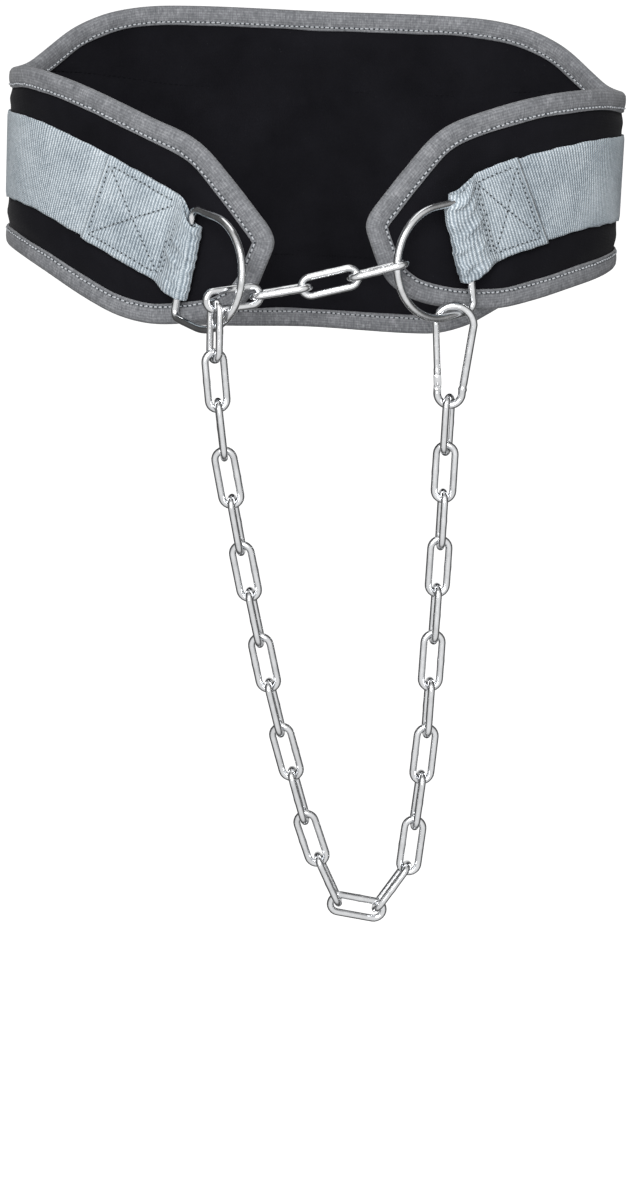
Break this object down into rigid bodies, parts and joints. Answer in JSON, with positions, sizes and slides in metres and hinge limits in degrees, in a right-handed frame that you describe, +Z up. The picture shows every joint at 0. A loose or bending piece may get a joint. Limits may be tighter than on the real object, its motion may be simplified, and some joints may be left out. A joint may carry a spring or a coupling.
{
  "type": "dip belt",
  "caption": "Padded waist belt with bound edges and a webbing strap that ends in two D-rings; a link chain with a snap hook hangs from them to carry a weight.",
  "frame": {"origin": "middle of the belt's hollow, where the wearer's waist is, half way between the belt's front and back and at the middle height of its sides", "axes": "+Z up along the wearer's body, +Y to the back of the belt, +X to the side of the ring that carries the snap hook; the wearer faces -Y"},
  "size_m": [0.3704, 0.2638, 0.5146],
  "materials": {
    "padded_cloth": "matt black cloth over foam",
    "binding_tape": "matt grey tape with stitch rows",
    "webbing": "ribbed blue-grey webbing",
    "plated_steel": "bright zinc plated wire"
  },
  "bodies": {
    "belt": {"belt_body": "padded_cloth", "edge_binding": "binding_tape", "webbing_strap": "webbing", "d_ring_left": "plated_steel", "d_ring_right": "plated_steel", "snap_hook_body": "plated_steel", "snap_hook_pin": "plated_steel", "chain_link_01": "plated_steel", "chain_link_02": "plated_steel", "chain_link_03": "plated_steel", "chain_link_04": "plated_steel", "chain_link_05": "plated_steel", "chain_link_06": "plated_steel", "chain_link_07": "plated_steel", "chain_link_08": "plated_steel", "chain_link_09": "plated_steel", "chain_link_10": "plated_steel", "chain_link_11": "plated_steel", "chain_link_12": "plated_steel", "chain_link_13": "plated_steel", "chain_link_14": "plated_steel", "chain_link_15": "plated_steel", "chain_link_16": "plated_steel", "chain_link_17": "plated_steel", "chain_link_18": "plated_steel", "chain_link_19": "plated_steel", "chain_link_20": "plated_steel", "chain_link_21": "plated_steel", "chain_link_22": "plated_steel", "chain_link_23": "plated_steel", "chain_link_24": "plated_steel", "chain_link_25": "plated_steel", "chain_link_26": "plated_steel", "chain_link_27": "plated_steel", "chain_link_28": "plated_steel", "chain_link_29": "plated_steel"},
    "gate": {"snap_hook_gate": "plated_steel"}
  },
  "joints": [
    {"name": "gate_hinge", "type": "hinge", "parent": "belt", "child": "gate", "pos_m": [0.07372, -0.10154, -0.10874], "axis": [0, 1, 0], "range_deg": [0, 22], "stiffness_Nm_per_rad": 0.02, "springref_deg": -20.05}
  ]
}
